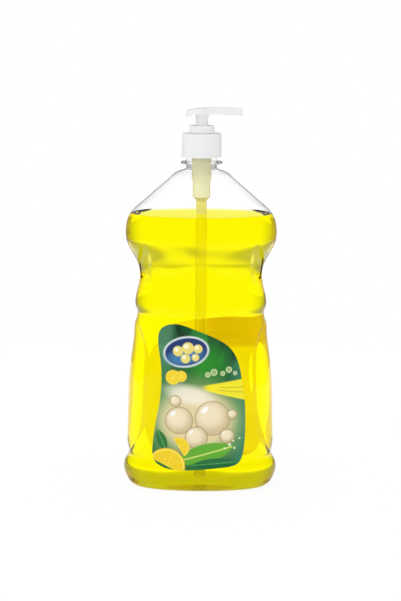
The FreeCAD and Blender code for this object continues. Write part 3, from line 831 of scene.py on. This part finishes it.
def vary_colour(tree, socket, low, high, scale):
    """Gives a colour socket a slight drift between two colours."""
    tree.links.new(mix_colours(tree, place_noise(tree, scale), low, high), socket)


def vary_value(tree, socket, low, high, scale):
    """Gives a value socket a slight drift between two values."""
    spread = tree.nodes.new("ShaderNodeMapRange")
    spread.inputs["To Min"].default_value = low
    spread.inputs["To Max"].default_value = high
    tree.links.new(place_noise(tree, scale), spread.inputs["Value"])
    tree.links.new(spread.outputs["Result"], socket)


def add_absorption(tree, colour, density):
    """Colour taken out of the light on its way through."""
    volume = tree.nodes.new("ShaderNodeVolumeAbsorption")
    volume.inputs["Color"].default_value = (*colour, 1)
    volume.inputs["Density"].default_value = density
    tree.links.new(volume.outputs["Volume"], tree.nodes["Material Output"].inputs["Volume"])


def dimple_height(tree, x, y, z):
    """Long dents in the front, left and right, a little above the waist."""
    from_side = maths(tree, "SUBTRACT", maths(tree, "ABSOLUTE", x), DIMPLE_X)
    from_middle = maths(tree, "SUBTRACT", z, DIMPLE_Z)
    across = maths(tree, "DIVIDE", from_side, DIMPLE_HALF_WIDTH)
    along = maths(tree, "DIVIDE", from_middle, DIMPLE_HALF_HEIGHT)
    squares = maths(tree, "MULTIPLY_ADD", across, across, maths(tree, "MULTIPLY", along, along))
    reach = maths(tree, "SQRT", squares)
    front = maths(tree, "LESS_THAN", y, 0.0)
    return maths(tree, "MULTIPLY", ease(tree, reach, 0.55, 1.1, DIMPLE_DEPTH, 0.0), front)


def add_wall_waves(tree, shader):
    """Long dents, the pressed foot of the bulge and fine waves of the blown wall."""
    place = tree.nodes.new("ShaderNodeTexCoord")
    split = tree.nodes.new("ShaderNodeSeparateXYZ")
    tree.links.new(place.outputs["Object"], split.inputs[0])
    x, y, z = split.outputs
    wave = place_noise(tree, WALL_WAVE_SCALE, 1.0)
    swayed = maths(tree, "MULTIPLY_ADD", wave, BULGE_SWAY, z)
    bulge = ease(tree, swayed, BULGE_FOOT, BULGE_FOOT + BULGE_RISE, 0.0, BULGE_DEPTH)
    waved = maths(tree, "MULTIPLY_ADD", wave, WALL_WAVE, bulge)
    height = maths(tree, "SUBTRACT", waved, dimple_height(tree, x, y, z))
    raise_surface(tree, shader, height, 1.0, 1.0)


def tint_and_shade_edges(tree, shader, facing, slanted):
    """Deeper colour on upright walls at a slant: partly the longer way light takes through tinted matter
    there, and partly painted shade that darkens the edges.
    """
    slant = tree.nodes.new("ShaderNodeLayerWeight")
    slant.inputs["Blend"].default_value = 0.5
    surface = tree.nodes.new("ShaderNodeNewGeometry")
    axes = tree.nodes.new("ShaderNodeSeparateXYZ")
    tree.links.new(surface.outputs["Normal"], axes.inputs[0])
    upright = ease(tree, maths(tree, "ABSOLUTE", axes.outputs["Z"]), 0.3, 0.6, 1.0, 0.0)
    # Painted shade: towards the slanted edges the colour darkens to the slanted colour
    share = maths(tree, "MULTIPLY", ease(tree, slant.outputs["Facing"], 0.45, 0.9, 0.0, 1.0), upright)
    tree.links.new(mix_colours(tree, share, facing, slanted), shader.inputs["Base Color"])


def clear_shader(name, index, gloss, roughness):
    """Material that light passes through, with its shader and node tree."""
    mat, shader, tree = new_material(name)
    shader.inputs["Specular Tint"].default_value = (*gloss, 1)
    shader.inputs["Transmission Weight"].default_value = 1.0
    shader.inputs["IOR"].default_value = index
    shader.inputs["Roughness"].default_value = roughness
    shader.inputs["Base Color"].default_value = (*CLEAR, 1)
    return mat, shader, tree


def dry_wall(name, index, gloss):
    """Thin clear blown wall above the soap."""
    mat, shader, tree = clear_shader(name, index, gloss, 0.02)
    add_bump(tree, shader, 45, 0.12, 0.0006)
    return mat


def wet_wall():
    """Clear blown wall before the soap, with painted amber shade at its edges; it bends light as wall and
    soap do together.
    """
    mat, shader, tree = clear_shader("wet_wall", 1.3, WARM_GLOSS, 0.02)
    add_wall_waves(tree, shader)
    # Painted amber shade at the slanted edges of the clear wall
    tint_and_shade_edges(tree, shader, CLEAR, SHADED_EDGE_AMBER)
    return mat


def wetted_side():
    """Inner side of the wall where soap wets it and no light bends."""
    mat = new_material("wetted_side")[0]
    tree = mat.node_tree
    clear = tree.nodes.new("ShaderNodeBsdfTransparent")
    tree.links.new(clear.outputs[0], tree.nodes["Material Output"].inputs["Surface"])
    return mat


def yellow_soap():
    """Clear lemon-yellow dish soap."""
    mat, shader, tree = clear_shader("lemon_soap", 1.05, WARM_GLOSS, 0.0)
    add_bump(tree, shader, 40, 0.1, 0.0004)
    add_absorption(tree, (0.999, 0.9905, 0.0), 150)
    return mat


def printed_film(name, see_through, through_kind):
    """Glossy printed film that takes its colours from the print on the mesh."""
    mat, shader, tree = new_material(name)
    colour = tree.nodes.new("ShaderNodeAttribute")
    colour.attribute_name = "print"
    tree.links.new(colour.outputs["Color"], shader.inputs["Base Color"])
    shader.inputs["IOR"].default_value = 1.45
    vary_value(tree, shader.inputs["Roughness"], 0.28, 0.38, 300)
    add_bump(tree, shader, 900, 0.05, 0.0001)
    through = tree.nodes.new(through_kind)
    tree.links.new(colour.outputs["Color"], through.inputs["Color"])
    mix_surfaces(tree, see_through, shader, through)
    return mat


def white_pump():
    """Glossy white moulded plastic of the pump."""
    mat, shader, tree = new_material("white_moulded")
    vary_colour(tree, shader.inputs["Base Color"], (0.82, 0.83, 0.825), (0.85, 0.86, 0.855), 120)
    vary_value(tree, shader.inputs["Roughness"], 0.34, 0.4, 400)
    add_bump(tree, shader, 1400, 0.02, 0.0001)
    return mat


def milky_plastic():
    """Natural translucent plastic of the pump housing and the stem; its yellow is partly the soap in it and
    partly painted light from the yellow soap below, with painted shade at its edges.
    """
    mat, shader, tree = new_material("milky_moulded")
    # Painted light and shade: a pale yellow that stands for light from the soap below, darkening to amber at
    # the edges
    tint_and_shade_edges(tree, shader, (0.97, 0.94, 0.60), (0.66, 0.50, 0.10))
    vary_value(tree, shader.inputs["Roughness"], 0.3, 0.4, 300)
    shader.inputs["IOR"].default_value = 1.35
    shader.inputs["Subsurface Weight"].default_value = 0.1
    shader.inputs["Subsurface Scale"].default_value = 0.003
    shader.inputs["Subsurface Radius"].default_value = (1.0, 0.95, 0.6)
    add_bump(tree, shader, 900, 0.05, 0.0001)
    return mat


def tube_plastic(name, index, colour, clearness):
    """Milky tube with painted shade at its edges; under the soap its index is taken against the soap's."""
    mat, shader, tree = new_material(name)
    shader.inputs["Transmission Weight"].default_value = clearness
    shader.inputs["IOR"].default_value = index
    vary_value(tree, shader.inputs["Roughness"], 0.02, 0.06, 200)
    # Painted shade: the colour darkens to seven tenths of itself at the slanted edges
    tint_and_shade_edges(tree, shader, colour, tuple(0.7 * part for part in colour))
    return mat


def soft_seal():
    """Soft off-white sealing plastic."""
    mat, shader, tree = new_material("soft_moulded")
    vary_colour(tree, shader.inputs["Base Color"], (0.76, 0.76, 0.72), (0.82, 0.82, 0.78), 200)
    shader.inputs["Roughness"].default_value = 0.55
    add_bump(tree, shader, 1200, 0.1, 0.0001)
    return mat


def bare_steel(name, low, high, scale, roughness):
    """Steel whose grey drifts between two colours."""
    mat, shader, tree = new_material(name)
    shader.inputs["Metallic"].default_value = 1.0
    vary_colour(tree, shader.inputs["Base Color"], low, high, scale)
    shader.inputs["Roughness"].default_value = roughness
    return mat


def spring_wire():
    """Drawn steel wire."""
    return bare_steel("drawn_wire", (0.55, 0.55, 0.56), (0.68, 0.68, 0.69), 900, 0.3)


def valve_ball():
    """Polished steel ball."""
    return bare_steel("polished_ball", (0.72, 0.72, 0.74), (0.78, 0.78, 0.8), 600, 0.12)


def dress(material, *nodes):
    """Gives solids of the frame a finer material."""
    for name in nodes:
        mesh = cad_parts[name].data
        mesh.materials.clear()
        mesh.materials.append(material)


def place_piece(obj, body, slot, replaced, *materials):
    """Puts materials on a piece that stands for a solid; it rides a body unless that is None."""
    for material in materials:
        obj.data.materials.append(material)
    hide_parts(replaced)
    if body:
        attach(obj, body)


def add_bottle():
    """Bottle and the soap in it."""
    shoulder = dry_wall("dry_wall", 1.13, CLEAR)
    neck = dry_wall("neck_wall", 1.15, (1, 0.92, 0.78))
    place_piece(build_bottle(), "bottle", "clear_pet", "bottle", shoulder, wet_wall(), wetted_side(), neck)
    place_piece(build_soap(), "bottle", "yellow_soap", "dish_liquid", yellow_soap())


def add_labels():
    """Printed films on the front and the back."""
    front = build_label("front_film", -1, paint_front, lining_front)
    front_print = printed_film("front_print", 0.1, "ShaderNodeBsdfTranslucent")
    place_piece(front, "bottle", "label_film", "front_label", front_print)
    back = build_label("back_film", 1, paint_back, lining_back)
    back_print = printed_film("back_print", 0.9, "ShaderNodeBsdfTransparent")
    place_piece(back, "bottle", "back_film", "back_label", back_print)


def add_tube_and_spring():
    """Dip tube, and the return spring that stretches between the pump and the piston."""
    dry = tube_plastic("tube_dry", 1.25, (1, 0.92, 0.28), 0.1)
    wet = tube_plastic("tube_wet", 1.06, (1, 0.98, 0.9), 0.92)
    place_piece(build_tube(), "pump", "tube_plastic", "dip_tube", dry, wet)
    spring = build_spring()
    place_piece(spring, None, "spring_wire", "return_spring", spring_wire())
    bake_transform(spring)


def add_table():
    """Pale table that stays white to the eye and keeps the object's shadow."""
    mesh = bpy.data.meshes.new("floor")
    turns = ((-1, -1), (1, -1), (1, 1), (-1, 1))
    mesh.from_pydata([(TABLE_HALF * x, TABLE_HALF * y, 0) for x, y in turns], [], [(0, 1, 2, 3)])
    table = bpy.data.objects.new("floor", mesh)
    bpy.context.scene.collection.objects.link(table)
    mat, shader, tree = new_material("table")
    shader.inputs["Base Color"].default_value = (TABLE_WHITENESS, TABLE_WHITENESS, TABLE_WHITENESS, 1)
    shader.inputs["Roughness"].default_value = 0.9
    shader.inputs["Specular IOR Level"].default_value = 0.0
    glow = tree.nodes.new("ShaderNodeEmission")
    glow.inputs["Strength"].default_value = 1.0
    path = tree.nodes.new("ShaderNodeLightPath")
    to_eye = maths(tree, "MULTIPLY", path.outputs["Is Camera Ray"], TABLE_GLOW)
    share = maths(tree, "MULTIPLY_ADD", path.outputs["Is Transmission Ray"], TABLE_GLOW_IN_GLASS, to_eye)
    mix_surfaces(tree, share, shader, glow)
    mesh.materials.append(mat)


def plain_light(tree, x, z, path):
    """Nearly even light for solid colours, a little brighter from above, from the left and in glass."""
    leaning = maths(tree, "MULTIPLY_ADD", x, -0.12, 1.0)
    even = maths(tree, "ADD", leaning, maths(tree, "MULTIPLY", z, 0.24))
    inside = maths(tree, "MINIMUM", path.outputs["Transmission Depth"], 1.0)
    return maths(tree, "MULTIPLY", even, maths(tree, "MULTIPLY_ADD", inside, 0.08, 1.0))


def studio_light(tree, x, z, path):
    """White sweep that glass and gloss see, dimmer at the sides and above, and dimmest for gloss."""
    sides = ease(tree, maths(tree, "ABSOLUTE", x), 0.35, 0.85, 1.04, 0.66)
    upper = ease(tree, z, -0.09, 0.07, 1.0, 0.55)
    mirror = maths(tree, "SUBTRACT", path.outputs["Is Glossy Ray"], path.outputs["Is Transmission Ray"])
    dimmed = maths(tree, "MULTIPLY_ADD", maths(tree, "MAXIMUM", mirror, 0.0), -0.7, 1.0)
    return maths(tree, "MULTIPLY", maths(tree, "MULTIPLY", sides, upper), dimmed)


def add_world():
    """White background round the object with one light for solid colours and one for glass and gloss."""
    world = bpy.data.worlds.new("studio")
    bpy.context.scene.world = world
    world.use_nodes = True
    tree = world.node_tree
    back = tree.nodes["Background"]
    back.inputs["Color"].default_value = (1, 1, 1, 1)
    place = tree.nodes.new("ShaderNodeTexCoord")
    split = tree.nodes.new("ShaderNodeSeparateXYZ")
    tree.links.new(place.outputs["Generated"], split.inputs[0])
    x, z = split.outputs["X"], split.outputs["Z"]
    path = tree.nodes.new("ShaderNodeLightPath")
    through = maths(tree, "MAXIMUM", path.outputs["Is Glossy Ray"], path.outputs["Is Transmission Ray"])
    direct = maths(tree, "LESS_THAN", path.outputs["Diffuse Depth"], 0.5)
    share = maths(tree, "MULTIPLY", through, direct)
    level = mix_levels(tree, share, plain_light(tree, x, z, path), studio_light(tree, x, z, path))
    tree.links.new(mix_levels(tree, path.outputs["Is Camera Ray"], level, 1.0), back.inputs["Strength"])


def add_camera():
    """Camera that looks down on the bottle from the front."""
    data = bpy.data.cameras.new("camera")
    data.lens = CAMERA_LENS
    data.sensor_width = CAMERA_SENSOR
    data.clip_end = 100
    camera = bpy.data.objects.new("camera", data)
    camera.location = CAMERA_PLACE
    pitch = Matrix.Rotation(math.radians(90 - CAMERA_PITCH), 3, "X")
    roll = Matrix.Rotation(math.radians(CAMERA_ROLL), 3, "Z")
    camera.rotation_euler = (pitch @ roll).to_euler()
    bpy.context.scene.collection.objects.link(camera)
    bpy.context.scene.camera = camera


bpy.context.scene.view_settings.view_transform = "Standard"
add_bottle()
add_labels()
add_tube_and_spring()
dress(white_pump(), "closure", "chaplet", "actuator")
dress(milky_plastic(), "pump_housing", "piston_seat", "stem")
dress(soft_seal(), "gasket", "piston")
dress(valve_ball(), "inlet_ball", "outlet_ball")
add_table()
add_world()
add_camera()
